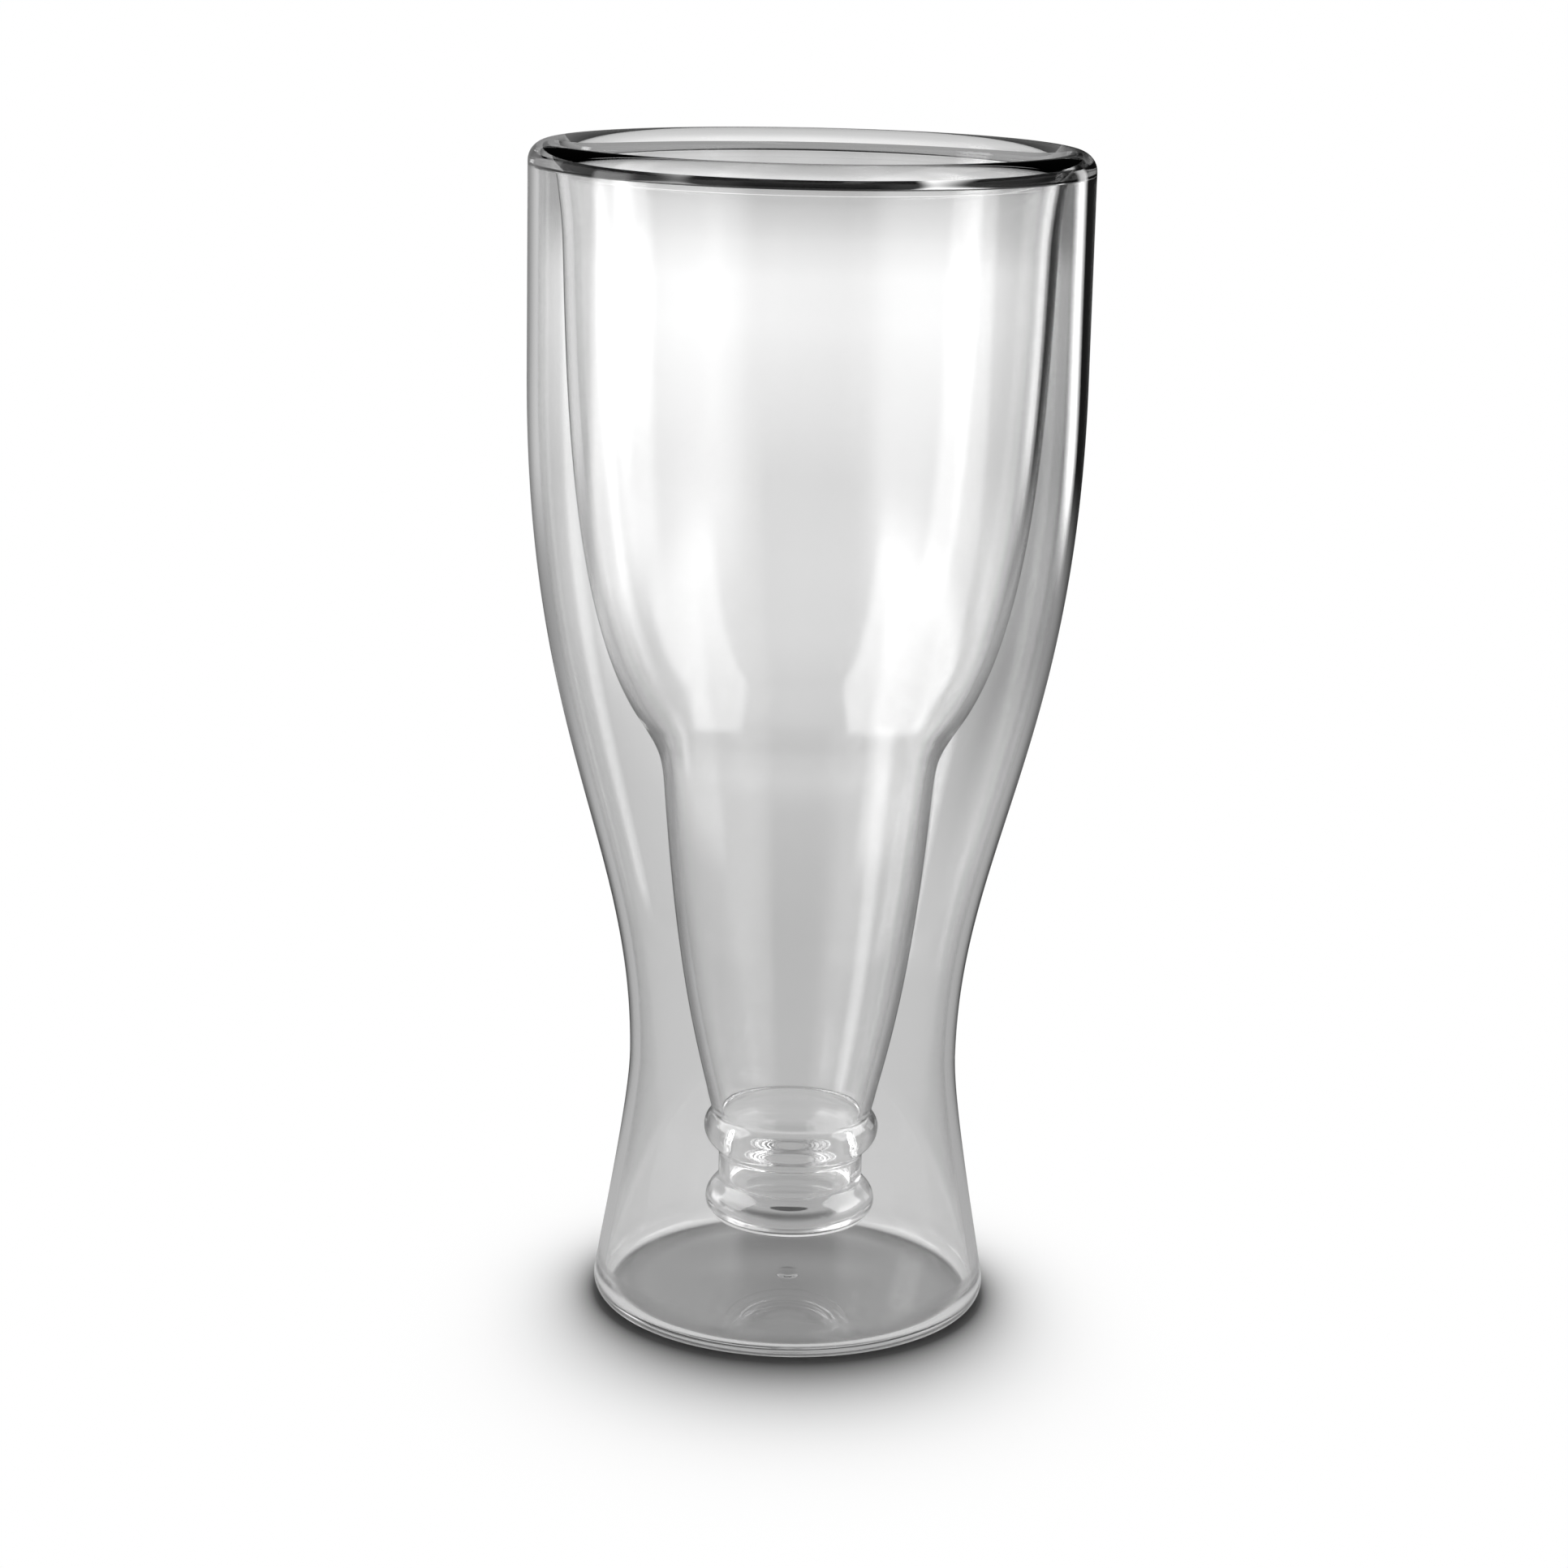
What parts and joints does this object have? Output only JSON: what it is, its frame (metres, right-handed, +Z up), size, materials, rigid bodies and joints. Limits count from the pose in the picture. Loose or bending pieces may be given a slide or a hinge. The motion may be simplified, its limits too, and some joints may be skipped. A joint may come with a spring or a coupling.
{
  "type": "double-walled beer glass",
  "caption": "Clear double-walled beer glass: a waisted pilsner shell around a liner shaped like an upturned bottle, fused at a rounded rim and closed by a punted base.",
  "frame": {"origin": "centre of the standing ring, on the surface that the glass stands on", "axes": "+Z up along the axis that every piece is turned about, from the base to the rim; X and Y are alike"},
  "size_m": [0.0888, 0.0888, 0.19],
  "materials": {
    "liner_glass": "clear, fire-polished",
    "shell_glass": "clear, fire-polished",
    "rim_glass": "clear, fire-polished",
    "base_glass": "clear, fire-polished",
    "heel_glass": "clear, fire-polished",
    "seal_glass": "clear, slightly rough"
  },
  "bodies": {
    "root": {"inner_vessel": "liner_glass", "outer_shell": "shell_glass", "rim_bead": "rim_glass", "base_disc": "base_glass", "heel_bead": "heel_glass", "vent_seal": "seal_glass"}
  },
  "joints": []
}
